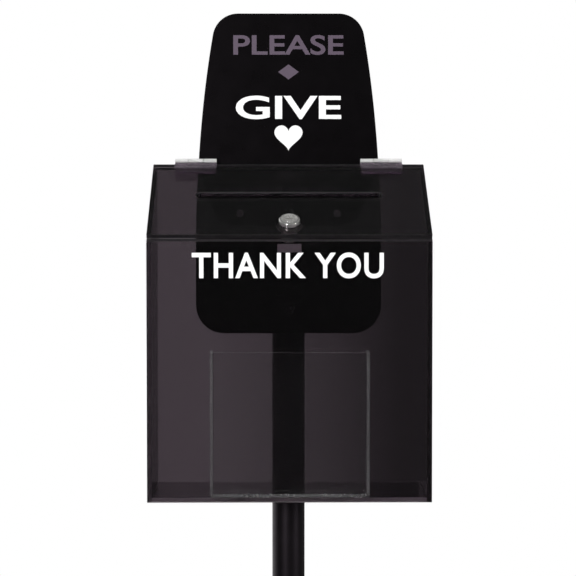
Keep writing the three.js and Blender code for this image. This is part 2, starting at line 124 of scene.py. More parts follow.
LOCK_AT = 24.8  # up the slope of the lid
LOCK_HEAD = 10.8
LOCK_HEAD_HEIGHT = 5.6
LOCK_RIM = 3
LOCK_ROUND = 2.2
LOCK_BARREL = 9.3
LOCK_FLATS = 8.3
LOCK_END = -19
LOCK_BORE = 6.2
LOCK_PLUG = 6
LOCK_NUT_FLATS, LOCK_NUT_THICKNESS = 24, 4
CAM_TOP = -21
CAM_THICKNESS = 2
CAM_WIDTH = 13
CAM_LENGTH = 30.4
CAM_SQUARE = 2.5

# ---- Places in metres, from the frame ----
case_low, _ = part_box("front_panel")
post_low, post_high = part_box("post_tube")
CASE = Matrix.Translation((0, case_low.y, case_low.z))
POST = Matrix.Translation((0, (post_low.y + post_high.y) / 2, 0))
TO_FRONT = Matrix.Rotation(math.pi / 2, 4, "X")
TO_BACK = Matrix.Rotation(-math.pi / 2, 4, "X")
TO_SIDE = Matrix.Rotation(math.pi / 2, 4, "Z") @ Matrix.Rotation(math.pi / 2, 4, "X")
ALONG_X = Matrix.Rotation(math.pi / 2, 4, "Y")
TURNED_ROUND = Matrix.Rotation(math.pi, 4, "Z")


def shift(x, y, z):
    return Matrix.Translation((x * MM, y * MM, z * MM))


LID = CASE @ shift(0, 0, LID_TOP) @ Matrix.Rotation(SLOPE, 4, "X")
LOCK = LID @ shift(0, LOCK_AT, 0)


# ---- Camera ----
CAMERA_LENS = 117.9
CAMERA_PLACE = (-0.016, -1.98685, 1.0147)
CAMERA_ANGLES = (-0.44, 90 - 2.41, -0.02)


def make_camera():
    """Straight in front at about lid height, with a long lens, turned slightly down."""
    data = bpy.data.cameras.new("camera")
    data.sensor_width = 36
    data.lens = CAMERA_LENS
    camera = bpy.data.objects.new("camera", data)
    bpy.context.scene.collection.objects.link(camera)
    yaw, pitch, roll = (math.radians(angle) for angle in CAMERA_ANGLES)
    turn = Matrix.Rotation(yaw, 4, "Z") @ Matrix.Rotation(pitch, 4, "X") @ Matrix.Rotation(roll, 4, "Z")
    camera.matrix_world = Matrix.Translation(CAMERA_PLACE) @ turn
    bpy.context.scene.camera = camera


# ---- Node trees ----
class Tree:
    """A node tree that is filled by add(): inputs by name, as numbers or as other nodes' sockets."""

    def __init__(self, tree):
        self.tree = tree
        tree.nodes.clear()

    def add(self, kind, inputs=None, out=0, **settings):
        node = self.tree.nodes.new("ShaderNode" + kind)
        for name, value in settings.items():
            setattr(node, name, value)
        for name, value in (inputs or {}).items():
            if isinstance(value, bpy.types.NodeSocket):
                self.tree.links.new(value, node.inputs[name])
            else:
                node.inputs[name].default_value = value
        return node.outputs[out]

    def point(self, stretch=(1, 1, 1)):
        """The object's own coordinates, in metres, stretched."""
        where = self.add("TexCoord", out="Object")
        return self.add("Mapping", {"Vector": where, "Scale": stretch})

    def noise(self, scale, detail=2, stretch=(1, 1, 1)):
        inputs = {"Vector": self.point(stretch), "Scale": scale, "Detail": detail}
        return self.add("TexNoise", inputs, out="Fac")

    def remap(self, value, low, high, to_low, to_high):
        inputs = {"Value": value, "From Min": low, "From Max": high, "To Min": to_low, "To Max": to_high}
        return self.add("MapRange", inputs, clamp=True)

    def math(self, operation, a, b=0.0):
        return self.add("Math", {0: a, 1: b}, operation=operation)

    def mix(self, share, a, b):
        return self.add("Mix", {0: share, 2: a, 3: b})

    def blend(self, share, a, b):
        inputs = {0: share, 6: a, 7: b}
        return self.add("Mix", inputs, out=2, data_type="RGBA")

    def bump(self, height, strength, distance):
        return self.add("Bump", {"Height": height, "Strength": strength, "Distance": distance})

    def output(self, kind, ends):
        """Joins the finished sockets to the tree's output node."""
        node = self.tree.nodes.new("ShaderNode" + kind)
        for name, socket in ends.items():
            self.tree.links.new(socket, node.inputs[name])


def colour(red, green, blue, share=1.0):
    return (share * red, share * green, share * blue, 1.0)


def material(name):
    """Starts a material, keeps it in MATERIALS under its name and gives its empty tree."""
    made = bpy.data.materials.new(name)
    made.use_nodes = True
    MATERIALS[name] = made
    return Tree(made.node_tree)


def finish_material(tree, inputs, volume=None):
    ends = {"Surface": tree.add("BsdfPrincipled", inputs)}
    if volume:
        ends["Volume"] = tree.add("VolumeAbsorption", volume)
    tree.output("OutputMaterial", ends)


# ---- Materials ----
MATERIALS = {}
ACRYLIC_IOR = 1.49
SHEEN = colour(1.0, 0.82, 0.98)  # dark glossy faces mirror the room a little mauve
CEMENT_FRONT = case_low.y + (CASE_DEPTH - 11.5) * MM  # front edge of the cement under the hinges
CEMENT_WAVES = 0.4 * MM
SMOKE = {"Color": colour(0.681, 0.651, 0.674), "Density": 1000}
CLEAR = {"Color": colour(0.9, 0.92, 0.92), "Density": 40}
MOULDING = {"Color": colour(0.84, 0.8, 0.84), "Density": 500}


def acrylic(name, body, haze, clear):
    """Polished sheet: faint waves in the surface, and hazy patches where it has been wiped."""
    tree = material(name)
    smears = tree.math("MULTIPLY", tree.noise(9, 4), tree.noise(120, 3, (1, 1, 0.15)))
    inputs = {
        "Base Color": colour(1, 1, 1),
        "Roughness": tree.remap(smears, 0.2, 0.5, haze * 0.25, haze),
        "Transmission Weight": clear,
        "IOR": ACRYLIC_IOR,
        "Specular Tint": SHEEN,
        "Normal": tree.bump(tree.noise(14, 1), 0.15, 0.0002),
    }
    finish_material(tree, inputs, body)


def hinge_moulding(name, cement, rough, clear):
    """Clear moulded plastic, cloudy where it was cemented and dark further out on the leaf."""
    tree = material(name)
    depth = tree.add("SeparateXYZ", {0: tree.add("TexCoord", out="Object")}, out=1)
    reach = tree.math("ADD", depth, tree.remap(tree.noise(400, 2), 0.3, 0.7, -CEMENT_WAVES, CEMENT_WAVES))
    cloudy = tree.remap(reach, CEMENT_FRONT - CEMENT_WAVES, CEMENT_FRONT + CEMENT_WAVES, 0.0, 1.0)
    streaks = tree.remap(tree.noise(260, 3, (0.3, 1, 1)), 0.35, 0.65, 0.0, 1.0)
    pale = tree.blend(streaks, colour(*cement, 0.8), colour(*cement))
    inputs = {
        "Base Color": tree.blend(cloudy, colour(0.3, 0.25, 0.3), pale),
        "Roughness": tree.remap(streaks, 0.0, 1.0, rough * 0.7, rough),
        "Transmission Weight": clear,
        "IOR": ACRYLIC_IOR,
        "Normal": tree.bump(streaks, 0.2, 0.0001),
    }
    finish_material(tree, inputs, MOULDING)


def cut_edge(name, body, clear, rough, pale=0.8):
    """The cut edge of a sheet, frosted by the saw or by cement, with fine marks along it, or with a low
    pale and no clearness an opaque dark face of painted shade.
    """
    tree = material(name)
    marks = tree.math("ADD", tree.noise(700, 2), tree.noise(90, 3))
    inputs = {
        "Base Color": tree.blend(tree.noise(150, 3), colour(1, 1, 1, 0.8 * pale), colour(1, 1, 1, pale)),
        "Roughness": tree.remap(marks, 0.7, 1.3, rough * 0.7, rough),
        "Transmission Weight": clear,
        "IOR": ACRYLIC_IOR,
        "Specular Tint": SHEEN,
        "Normal": tree.bump(marks, 0.3, 0.00006),
    }
    finish_material(tree, inputs, body)


def powder_coat(name, dark, rough, specular):
    """Satin black, with the fine texture of baked powder and a little dust on what faces up."""
    tree = material(name)
    facing = tree.add("SeparateXYZ", {0: tree.add("TexCoord", out="Normal")}, out=2)
    patches = tree.remap(tree.noise(22, 6), 0.4, 0.7, 0, 1)
    dust = tree.math("MULTIPLY", tree.remap(facing, 0.6, 1.0, 0.0, 0.2), patches)
    base = tree.blend(tree.noise(45, 3), colour(1, 0.93, 1, dark), colour(1.2, 1.12, 1.2, dark))
    grain = tree.math("ADD", tree.noise(900, 2), tree.math("MULTIPLY", tree.noise(260, 1), 1.5))
    inputs = {
        "Base Color": tree.blend(dust, base, colour(0.06, 0.056, 0.054)),
        "Roughness": tree.remap(tree.noise(60, 4), 0.3, 0.7, rough - 0.04, rough + 0.04),
        "Specular IOR Level": specular,
        "Specular Tint": SHEEN,
        "Normal": tree.bump(grain, 0.2, 0.00003),
    }
    finish_material(tree, inputs)


def metal(name, base, smooth, rough, scratch, metallic=1.0):
    """Plated metal with uneven gloss and fine wipe marks."""
    tree = material(name)
    marks = tree.noise(500, 3, (1, 0.06, 1))
    inputs = {
        "Base Color": tree.blend(tree.noise(70, 4), colour(*base), colour(*base, 0.82)),
        "Metallic": metallic,
        "Roughness": tree.remap(tree.math("ADD", tree.noise(160, 4), marks), 0.7, 1.3, smooth, rough),
        "Normal": tree.bump(marks, scratch, 0.00002),
    }
    finish_material(tree, inputs)


def moulded(name, base, rough, scale, depth):
    """Moulded black plastic or rubber with a fine spark-eroded texture."""
    tree = material(name)
    dusty = tree.remap(tree.noise(35, 5), 0.45, 0.75, 0, 0.3)
    inputs = {
        "Base Color": tree.blend(dusty, colour(*base), colour(*base, 2.2)),
        "Roughness": tree.remap(tree.noise(80, 3), 0.3, 0.7, rough - 0.06, rough + 0.06),
        "Normal": tree.bump(tree.noise(scale, 3), 0.35, depth),
    }
    finish_material(tree, inputs)


def vinyl(name, base):
    """Cut film: a touch uneven where it was pressed down."""
    tree = material(name)
    worn = tree.remap(tree.noise(50, 3), 0.3, 0.7, 0.0, 0.12)
    inputs = {
        "Base Color": tree.blend(worn, colour(*base), colour(*base, 0.8)),
        "Roughness": tree.remap(tree.noise(90, 3), 0.3, 0.7, 0.38, 0.5),
        "Normal": tree.bump(tree.noise(220, 2), 0.1, 0.00003),
    }
    finish_material(tree, inputs)


acrylic("smoked_acrylic", SMOKE, haze=0.012, clear=0.9975)
acrylic("smoked_lid", SMOKE, haze=0.02, clear=0.9945)
cut_edge("smoked_edge", SMOKE, clear=0.988, rough=0.45)
cut_edge("slot_edge", SMOKE, clear=0.978, rough=0.45)
cut_edge("cloudy_joint", SMOKE, clear=0.55, rough=0.45)
cut_edge("clear_joint", SMOKE, clear=0.9, rough=0.45)
cut_edge("seam", SMOKE, clear=0.0, rough=0.5, pale=0.95)
# painted shade: an opaque near-black face for the lid's rear edge, standing in for the darkness seen
# along it
cut_edge("painted_shade_edge", SMOKE, clear=0.0, rough=0.6, pale=0.07)
acrylic("clear_acrylic", CLEAR, haze=0.012, clear=0.9995)
cut_edge("clear_edge", CLEAR, clear=0.965, rough=0.25)
cut_edge("pocket_seam", CLEAR, clear=0.93, rough=0.3)
cut_edge("frosted_block", CLEAR, clear=0.0, rough=0.4, pale=0.95)
hinge_moulding("clear_moulding", (1.0, 0.92, 1.0), rough=0.15, clear=0.955)
hinge_moulding("hinge_barrel", (0.88, 0.9, 0.87), rough=0.4, clear=0.58)
powder_coat("header_coat", 0.0022, rough=0.3, specular=0.12)
powder_coat("powder_coat", 0.0018, rough=0.4, specular=0.5)
metal("chrome", (0.86, 0.85, 0.82), smooth=0.06, rough=0.2, scratch=0.06)
metal("satin_chrome", (0.88, 0.87, 0.84), smooth=0.2, rough=0.4, scratch=0.25, metallic=0.8)
metal("lock_rim", (0.95, 0.94, 0.91), smooth=0.16, rough=0.27, scratch=0.06, metallic=0.88)
metal("screw_steel", (0.29, 0.28, 0.29), smooth=0.16, rough=0.26, scratch=0.1, metallic=0.5)
metal("plated_steel", (0.56, 0.55, 0.52), smooth=0.24, rough=0.42, scratch=0.15)
metal("black_steel", (0.1, 0.1, 0.105), smooth=0.2, rough=0.32, scratch=0.1)
moulded("black_nylon", (0.014, 0.014, 0.015), rough=0.5, scale=700, depth=0.00004)
moulded("rubber", (0.018, 0.018, 0.018), rough=0.82, scale=420, depth=0.00008)
vinyl("white_vinyl", (0.86, 0.86, 0.86))
vinyl("mauve_vinyl", (0.095, 0.068, 0.1))


# ---- Outlines ----
def arc(centre, radius, start, end, steps):
    """Points on an arc between two angles in degrees."""
    angles = [math.radians(start + (end - start) * step / steps) for step in range(steps + 1)]
    return [(centre[0] + radius * math.cos(a), centre[1] + radius * math.sin(a)) for a in angles]


def circle(radius, x=0.0, y=0.0, steps=64):
    return arc((x, y), radius, 0, 360, steps)[:-1]


def rounded_rectangle(x0, y0, x1, y1, radii, steps=16):
    """Corner radii run lower right, upper right, upper left, lower left."""
    lower_right, upper_right, upper_left, lower_left = radii
    return [
        *arc((x1 - lower_right, y0 + lower_right), lower_right, -90, 0, steps),
        *arc((x1 - upper_right, y1 - upper_right), upper_right, 0, 90, steps),
        *arc((x0 + upper_left, y1 - upper_left), upper_left, 90, 180, steps),
        *arc((x0 + lower_left, y0 + lower_left), lower_left, 180, 270, steps),
    ]


def hexagon(flats):
    return circle(flats / 2 / math.cos(math.pi / 6), steps=6)


def softened(points, radius, closed=True, steps=4):
    """A polyline with each corner turned into an arc of the radius, or less where it has no room."""
    count = len(points)
    corners = [Vector(point) for point in points]
    soft = []
    for index, corner in enumerate(corners):
        if not closed and index in (0, count - 1):
            soft.append(tuple(corner))
            continue
        before = corners[index - 1] - corner
        after = corners[(index + 1) % count] - corner
        half = before.angle(after) / 2
        reach = min(radius / math.tan(half), before.length * 0.45, after.length * 0.45)
        start = corner + before.normalized() * reach
        end = corner + after.normalized() * reach
        for step in range(steps + 1):
            share = step / steps
            near, far = start.lerp(corner, share), corner.lerp(end, share)
            soft.append(tuple(near.lerp(far, share)))
    return soft


# ---- Meshes ----
MEETING = 1e-4  # vertices closer than this are one
SHARP_ANGLE = math.radians(38)
FLAT_FACE_WEIGHT = 80


def new_piece(name, data):
    piece = bpy.data.objects.new(name, data)
    bpy.context.scene.collection.objects.link(piece)
    return piece


def baked(piece):
    """The piece as a plain mesh, with its curves or modifiers worked out."""
    graph = bpy.context.evaluated_depsgraph_get()
    mesh = bpy.data.meshes.new_from_object(piece.evaluated_get(graph))
    name = piece.name
    bpy.data.objects.remove(piece)
    return new_piece(name, mesh)


def weld(piece):
    """Joins vertices that meet, drops faces of no size and turns the rest outwards."""
    solid = bmesh.new()
    solid.from_mesh(piece.data)
    bmesh.ops.remove_doubles(solid, verts=solid.verts, dist=MEETING)
    bmesh.ops.dissolve_degenerate(solid, edges=solid.edges, dist=MEETING)
    bmesh.ops.recalc_face_normals(solid, faces=solid.faces)
    solid.to_mesh(piece.data)
    solid.free()
    return piece


def sheet(name, outline, thickness, edge, holes=(), base=0.0):
    """A flat sheet in XY from height base up, with rounded edges."""
    curve = bpy.data.curves.new(name, "CURVE")
    curve.dimensions = "2D"
    curve.fill_mode = "BOTH"
    curve.extrude = thickness / 2 - edge
    curve.bevel_depth = edge
    curve.bevel_resolution = 2
    curve.offset = -edge
    for loop in (outline, *holes):
        spline = curve.splines.new("POLY")
        spline.points.add(len(loop) - 1)
        for point, (x, y) in zip(spline.points, loop):
            point.co = (x, y, 0, 1)
        spline.use_cyclic_u = True
    piece = weld(baked(new_piece(name, curve)))
    piece.data.transform(Matrix.Translation((0, 0, base + thickness / 2)))
    return piece


def turned(name, profile, ring=False, steps=72):
    """A solid of revolution about Z from (radius, height) pairs, closed on itself if it is a ring."""
    solid = bmesh.new()
    points = [solid.verts.new((radius, 0, height)) for radius, height in profile]
    pairs = list(zip(points, points[1:] + points[:1] if ring else points[1:]))
    outline = points + [solid.edges.new(pair) for pair in pairs]
    centre, upright = (0, 0, 0), (0, 0, 1)
    bmesh.ops.spin(solid, geom=outline, cent=centre, axis=upright, angle=2 * math.pi, steps=steps)
    mesh = bpy.data.meshes.new(name)
    solid.to_mesh(mesh)
    solid.free()
    return weld(new_piece(name, mesh))


def rod(radius, low, high, steps=48):
    return turned("tool", [(0, low), (radius, low), (radius, high), (0, high)], steps=steps)


def moved(piece, *moves):
    """Moves a piece, in millimetres, before it is placed."""
    for move in moves:
        piece.data.transform(move)
    return piece


def at(x, y, z):
    """A move before placing, where shift is one after it."""
    return Matrix.Translation((x, y, z))


def boolean(piece, operation, tools):
    for tool in tools:
        modifier = piece.modifiers.new("boolean", "BOOLEAN")
        modifier.operation = operation
        modifier.solver = "EXACT"
        modifier.object = tool
    made = weld(baked(piece))
    for tool in tools:
        bpy.data.objects.remove(tool)
    return made


def cut(piece, *tools):
    return boolean(piece, "DIFFERENCE", tools)


def join(piece, *others):
    return boolean(piece, "UNION", others)


def meet(piece, *others):
    return boolean(piece, "INTERSECT", others)


def shade(piece):
    """Smooth faces, sharp only at real edges, with normals led by the large faces."""
    piece.data.polygons.foreach_set("use_smooth", [True] * len(piece.data.polygons))
    piece.data.set_sharp_from_angle(angle=SHARP_ANGLE)
    normals = piece.modifiers.new("normals", "WEIGHTED_NORMAL")
    normals.keep_sharp = True
    normals.weight = FLAT_FACE_WEIGHT


FACING = 0.7  # a face looks along an axis if its normal's share of it is above this


def across(axis):
    """Picks a sheet's cut edges, the faces that don't look along the axis."""
    return lambda face: abs(face.normal[axis]) < FACING


def frontward(face):
    return face.normal.y < -FACING


def rearward(face):
    return face.normal.y > FACING


def downward(face):
    return face.normal.z < -FACING


def place(piece, where, body, finish, *nodes, slot=None, edges=None):
    """Puts a piece where it belongs, hangs it on its body and hides the frame's parts that it stands for.
    Edges maps finishes to their faces.
    """
    piece.data.materials.clear()
    piece.data.materials.append(MATERIALS[finish])
    for number, (edge, picked) in enumerate((edges or {}).items(), start=1):
        piece.data.materials.append(MATERIALS[edge])
        for face in filter(picked, piece.data.polygons):
            face.material_index = number
    piece.data.transform(where @ Matrix.Scale(MM, 4))
    shade(piece)
    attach(piece, body)
    if nodes:
        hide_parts(*nodes)
    return piece


# ---- Fasteners, each with its head or dome along +Z and its seat at z = 0 ----
COARSE_PITCH, FINE_PITCH = 1.0, 0.7
THREAD_DEPTH = 0.3  # as a share of the pitch
THREAD_LEAD = 0.6  # from the end of a thread to the end of its rod
TOOL_EDGE = 0.05


def thread(radius, pitch, top, bottom):
    """A profile of thread roots and crests going down."""
    turns = round((top - bottom) / pitch)
    step = (top - bottom) / turns
    profile = []
    for turn in range(turns):
        height = top - turn * step
        profile += [(radius - THREAD_DEPTH * pitch, height), (radius, height - step / 2)]
    return profile


def screw_body(name, head, head_height, shank, length, pitch, threaded):
    """A low domed head on a shank whose last stretch is threaded."""
    dome = [(0, head_height), (head * 0.55, head_height), (head * 0.9, head_height * 0.6), (head, 0)]
    edge = 0.15
    thread_top, thread_end = threaded - length, THREAD_LEAD - length
    profile = [
        (0, head_height),
        *softened(dome, head * 0.4, closed=False)[1:-1],
        (head, edge), (head - edge, 0), (shank, 0), (shank, thread_top),
        *thread(shank, pitch, thread_top, thread_end),
        (shank - THREAD_DEPTH * pitch, thread_end), (shank - 0.8, -length), (0, -length),
    ]
    return turned(name, profile)


def socket_bolt(name, length):
    """A domed bolt with a hexagon socket."""
    threaded = min(length - 1, 16)
    body = screw_body(name, BOLT_HEAD, BOLT_HEAD_HEIGHT, BOLT_SHANK, length, COARSE_PITCH, threaded)
    key = sheet("tool", hexagon(BOLT_KEY), BOLT_HEAD_HEIGHT, TOOL_EDGE, base=BOLT_HEAD_HEIGHT * 0.35)
    return cut(body, key)


def cross_screw(name, head, head_height, shank, length):
    """A domed screw with a cross recess."""
    body = screw_body(name, head, head_height, shank, length, FINE_PITCH, min(length - 1, 10))
    reach, half, corner = head * 0.52, 0.5, 0.3
    bars = []
    for x, y in ((half, reach), (reach, half)):
        bar = rounded_rectangle(-x, -y, x, y, [corner] * 4, 4)
        bars.append(sheet("tool", bar, head_height, TOOL_EDGE, base=head_height * 0.4))
    return cut(body, *bars)


def hex_block(name, flats, thickness):
    """A hexagonal block with its corners turned off above and below by a drum that stands proud of it."""
    corner = flats / 2 / math.cos(math.pi / 6)
    bevel = (corner - flats / 2) * 1.4
    rise, widest = bevel * 0.6, corner + 0.1
    run = (widest - corner + bevel) / rise
    end = corner - bevel - run * GAP
    drum = [(0, -GAP), (end, -GAP), (widest, rise)]
    drum += [(radius, thickness - height) for radius, height in reversed(drum)]
    return meet(sheet(name, hexagon(flats), thickness, 0.1), turned("tool", drum))


def hex_nut(name, flats, thickness, bore):
    return cut(hex_block(name, flats, thickness), rod(bore, -1, thickness + 1))


def ring(name, outer, inner, low, high, edge=0.3):
    """A turned ring with rounded edges."""
    profile = softened([(inner, low), (outer, low), (outer, high), (inner, high)], edge)
    return turned(name, profile, ring=True)


# ---- Base and post ----
def flange_screw_places():
    angles = (math.radians(angle) for angle in (45, 135, 225, 315))
    return [(FLANGE_SCREWS * math.cos(angle), FLANGE_SCREWS * math.sin(angle)) for angle in angles]


def make_base():
    half = BASE_SIZE / 2
    post_y = POST.translation.y / MM
    holes = [circle(BOLT_HOLE, x, y + post_y, 24) for x, y in flange_screw_places()]
    outline = rounded_rectangle(-half, -half, half, half, [BASE_CORNER] * 4, 24)
    plate = sheet("base_plate_steel", outline, BASE_THICKNESS, 1.2, holes, FOOT_HEIGHT)
    place(plate, Matrix.Identity(4), "stand", "powder_coat", "base_plate")
    reach = half - FOOT_INSET
    for row, y in (("front", -reach), ("rear", reach)):
        for side, x in (("left", -reach), ("right", reach)):
            foot = rubber_foot(f"rubber_foot_{row}_{side}")
            place(foot, shift(x, y, 0), "stand", "rubber", f"foot_{row}_{side}")


def rubber_foot(name):
    """A disc, chamfered and hollowed below."""
    hollow, hollow_height, chamfer = 4.5, 2.2, 1.5
    top = FOOT_HEIGHT - GAP
    profile = [
        (0, hollow_height), (hollow, hollow_height), (hollow, 0),
        (FOOT_RADIUS - chamfer, 0), (FOOT_RADIUS, chamfer), (FOOT_RADIUS, top), (0, top),
    ]
    return turned(name, softened(profile, 0.6, closed=False))


def make_flange():
    low, spigot, spigot_top = BASE_TOP + GAP, POST_BORE - GAP, FLANGE_TOP + FLANGE_SPIGOT
    profile = [
        (0, low), (FLANGE_RADIUS, low), (FLANGE_RADIUS, FLANGE_TOP),
        (spigot, FLANGE_TOP), (spigot, spigot_top), (0, spigot_top),
    ]
    disc = turned("flange_disc", softened(profile, 1.0, closed=False), steps=120)
    places = flange_screw_places()
    holes = [moved(rod(BOLT_HOLE, low - 1, FLANGE_TOP + 1), at(x, y, 0)) for x, y in places]
    place(cut(disc, *holes), POST, "stand", "powder_coat", "post_flange")
    length = FLANGE_TOP - FOOT_HEIGHT - 0.5
    for number, (x, y) in enumerate(places, start=1):
        screw = socket_bolt(f"flange_bolt_{number}", length)
        seat = POST @ shift(x, y, FLANGE_TOP + GAP)
        place(screw, seat, "stand", "plated_steel", f"flange_screw_{number}")


def make_post():
    bottom, top = post_low.z / MM, post_high.z / MM
    tube = ring("post_steel_tube", POST_RADIUS, POST_BORE, bottom, top, 0.5)
    reach = POST_RADIUS + 1
    through = [
        moved(rod(BOLT_HOLE, -reach, reach), TO_FRONT, at(0, 0, case_low.z / MM + height))
        for height in BOLT_HEIGHTS.values()
    ]
    place(cut(tube, *through), POST, "stand", "powder_coat", "post_tube")
    make_post_cap(top + GAP)


def make_post_cap(seat):
    """A low dome on a plug with a tapered end."""
    plug, depth, lead = POST_BORE - GAP, 12, 2
    rim, shoulder, height = 1.8, 3.6, 4.2
    profile = [
        (0, seat - depth), (plug - 1, seat - depth), (plug, seat - depth + lead), (plug, seat),
        (POST_RADIUS, seat), (POST_RADIUS, seat + rim),
        (POST_RADIUS - 4, seat + shoulder), (0, seat + height),
    ]
    cap = turned("post_end_cap", softened(profile, 1.2, closed=False), steps=96)
    place(cap, POST, "stand", "black_nylon", "post_cap")


# ---- Header plate ----
def quadratic(start, control, end, steps):
    """Points on a quadratic curve, without its first one."""
    start, control, end = Vector(start), Vector(control), Vector(end)
    shares = [step / steps for step in range(1, steps + 1)]
    return [tuple(start.lerp(control, s).lerp(control.lerp(end, s), s)) for s in shares]


def header_outline():
    """A straight lower part, sides that curve inwards to a slight taper, and rounded corners."""
    half, bottom, top = 98.5, 162, 501.2
    low_corner, top_corner = 30, 27
    taper_start, taper_control, end_x, end_z = 240, 370.5, 80.9, 474
    lean = math.atan2(half - end_x, end_z - taper_control)
    corner_z = top - top_corner
    tangent_z = corner_z + top_corner * math.sin(lean)
    corner_x = end_x - (tangent_z - end_z) * math.tan(lean) - top_corner * math.cos(lean)
    right = [
        *arc((half - low_corner, bottom + low_corner), low_corner, -90, 0, 24),
        (half, taper_start),
        *quadratic((half, taper_start), (half, taper_control), (end_x, end_z), 32),
        *arc((corner_x, corner_z), top_corner, math.degrees(lean), 90, 24),
    ]
    return right + [(-x, y) for x, y in reversed(right)]


def make_header():
    holes = [circle(CASE_SCREW_HOLE, x, BOLT_HEIGHTS["upper"], 24) for x in CASE_SCREWS.values()]
    holes += [circle(BOLT_HOLE, 0, height, 24) for height in BOLT_HEIGHTS.values()]
    plate = sheet("header_steel_plate", header_outline(), PLATE_THICKNESS, 0.5, holes)
    where = CASE @ shift(0, PLATE_BACK, 0) @ TO_FRONT
    place(plate, where, "stand", "header_coat", "header_plate", slot="powder_coat")


# ---- Fixings between case, plate and post ----
def wall_spacer(name, outer, inner):
    """A ring that fills the room between the case and the plate."""
    return ring(name, outer, inner, GAP - PLATE_FRONT, -CASE_DEPTH - GAP)


def make_case_screws():
    z = BOLT_HEIGHTS["upper"]
    back = PLATE_BACK + GAP
    length = back + CASE_NUT_THICKNESS + 1.5 - HEAD_SEAT
    for side, x in CASE_SCREWS.items():
        screw = cross_screw(
            f"panel_screw_{side}", CASE_SCREW_HEAD, CASE_SCREW_HEAD_HEIGHT, CASE_SCREW_SHANK, length)
        seat = CASE @ shift(x, HEAD_SEAT, z) @ TO_FRONT
        place(screw, seat, "stand", "screw_steel", f"case_screw_{side}", slot="plated_steel")
        spacer = wall_spacer(f"panel_spacer_{side}", 5, CASE_SCREW_HOLE)
        place(spacer, CASE @ shift(x, 0, z) @ TO_FRONT, "stand", "black_nylon", f"case_spacer_{side}")
        nut = hex_nut(f"panel_nut_{side}", CASE_NUT_FLATS, CASE_NUT_THICKNESS, CASE_SCREW_HOLE)
        place(nut, CASE @ shift(x, back, z) @ TO_BACK, "stand", "plated_steel", f"case_nut_{side}")


def make_post_bolts():
    for level, z in BOLT_HEIGHTS.items():
        bolt = socket_bolt(f"clamp_bolt_{level}", SADDLE_BACK + 8 - HEAD_SEAT)
        seat = CASE @ shift(0, HEAD_SEAT, z) @ TO_FRONT
        place(bolt, seat, "stand", "black_steel", f"post_bolt_{level}", slot="plated_steel")
        spacer = wall_spacer(f"clamp_spacer_{level}", 7, BOLT_HOLE)
        place(spacer, CASE @ shift(0, 0, z) @ TO_FRONT, "stand", "black_nylon", f"post_spacer_{level}")
        make_saddle("front", level, PLATE_BACK + GAP - POST_AXIS, -1)
        make_saddle("rear", level, SADDLE_BACK - POST_AXIS, 1)
        make_cap_nut(level, z)


def saddle_outline(half, flat_y, sign):
    """A block, flat at flat_y and hollowed to the post, in front of its axis (-1) or behind it (1)."""
    hollow = POST_RADIUS + GAP
    reach = math.degrees(math.asin((half - 0.9) / hollow))
    middle = 90 * sign
    curve = arc((0, 0), hollow, middle - reach, middle + reach, 24)
    start_x, shoulder = curve[0]
    side = math.copysign(half, start_x)
    return [(side, shoulder), *curve, (-side, shoulder), (-side, flat_y), (side, flat_y)]


def make_saddle(row, level, flat_y, sign):
    half = SADDLE_HALVES[row]
    block = sheet(f"{row}_clamp_{level}", saddle_outline(half, flat_y, sign), 2 * half, 0.6, base=-half)
    through = 2 * POST_RADIUS
    hole = moved(rod(BOLT_HOLE, -through, through), TO_FRONT)
    where = CASE @ shift(0, POST_AXIS, BOLT_HEIGHTS[level])
    place(cut(block, hole), where, "stand", "black_nylon", f"{row}_saddle_{level}")


def make_cap_nut(level, z):
    """A hexagon skirt with a turned collar and dome, drilled from below."""
    flats, skirt, bore, depth = 10, 5, BOLT_SHANK + GAP, 9
    profile = [(0, 4), (4.7, 4), (4.7, 7), (4.2, 9), (3, 11), (1.4, 11.8), (0, 12)]
    dome = turned("tool", softened(profile, 1.2, closed=False))
    nut = cut(join(hex_block(f"dome_nut_{level}", flats, skirt), dome), rod(bore, -1, depth))
    place(nut, CASE @ shift(0, SADDLE_BACK + GAP, z) @ TO_BACK, "stand", "chrome", f"cap_nut_{level}")


# ---- Hinges ----
def hinge_leaf(name, face, reach, knuckles):
    """A leaf along +Y with barrels about X, its inner face at height face."""
    half, root = HINGE_LENGTH / 2, HINGE_CLEAR + 1
    outline = rounded_rectangle(-half, HINGE_CLEAR, half, reach, [0.4, 1.8, 1.8, 0.4], 6)
    leaf = sheet(name, outline, HINGE_LEAF, 0.3, base=face)
    neck_low, neck_high = face + 0.05, face + HINGE_LEAF - 0.05
    low, high = (math.degrees(math.asin(height / HINGE_BARREL)) for height in (neck_low, neck_high))
    section = [(root, neck_low), (root, neck_high), *arc((0, 0), HINGE_BARREL, high, 360 + low, 40)]
    barrels = [
        moved(sheet("tool", section, end - start, 0.25), TO_SIDE, at(start, 0, 0))
        for start, end in knuckles
    ]
    return cut(join(leaf, *barrels), moved(rod(HINGE_BORE, -half - 1, half + 1), ALONG_X))


def hinge_pin(name):
    half = HINGE_LENGTH / 2
    profile = [(0, -half), (HINGE_PIN, -half), (HINGE_PIN, half), (0, half)]
    return moved(turned(name, softened(profile, 0.4, closed=False)), ALONG_X)


def on_barrel(face):
    return face.center.yz.length < HINGE_BARREL + 0.1


